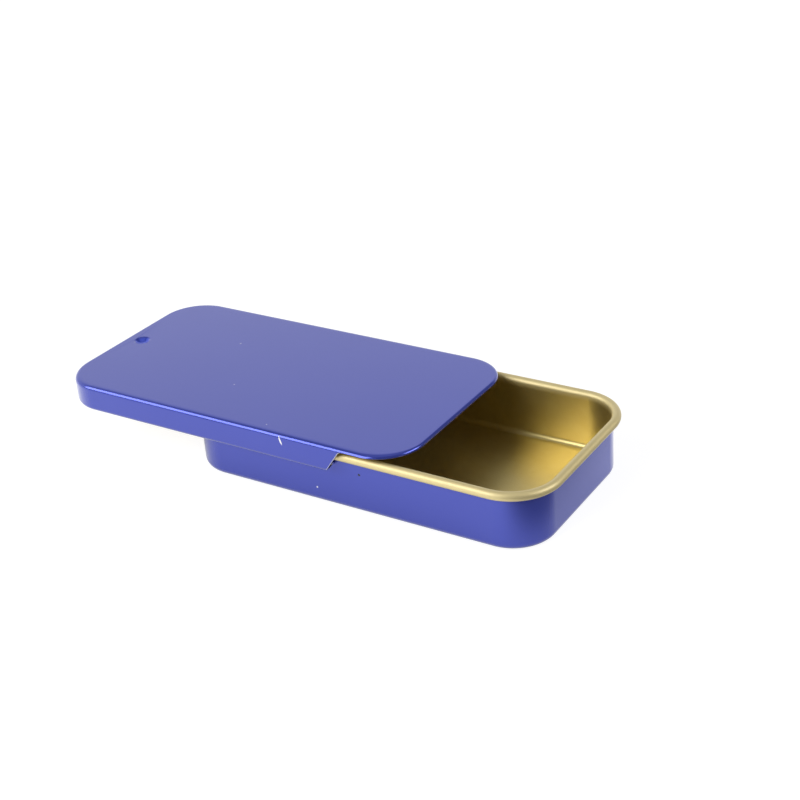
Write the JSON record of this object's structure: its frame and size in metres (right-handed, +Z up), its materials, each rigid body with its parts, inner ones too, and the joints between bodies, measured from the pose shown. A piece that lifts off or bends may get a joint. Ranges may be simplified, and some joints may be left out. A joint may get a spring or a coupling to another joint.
{
  "type": "sliding lid tin",
  "caption": "Small flat pressed tin with rounded corners: a tray with a rolled bead, and a lid whose curled runners slide along under the bead.",
  "frame": {"origin": "middle of the tray's flat underside, on the surface that the tin stands on", "axes": "+X along the tin towards the end that the lid uncovers, +Y across it, +Z up"},
  "size_m": [0.082, 0.033, 0.0106],
  "materials": {
    "tray_lacquer": "satin blue lacquer outside, satin gold lacquer inside and over the rolled bead, on tinplate",
    "lid_lacquer": "satin blue lacquer outside, gold lacquer underneath, bare steel at the cut edges, on tinplate"
  },
  "bodies": {
    "tray": {"base_tray": "tray_lacquer"},
    "lid": {"sliding_lid": "lid_lacquer"}
  },
  "joints": [
    {"name": "lid_slide", "type": "slide", "parent": "tray", "child": "lid", "axis": [-1, 0, 0], "range_m": [-0.0215, 0.0215]}
  ]
}
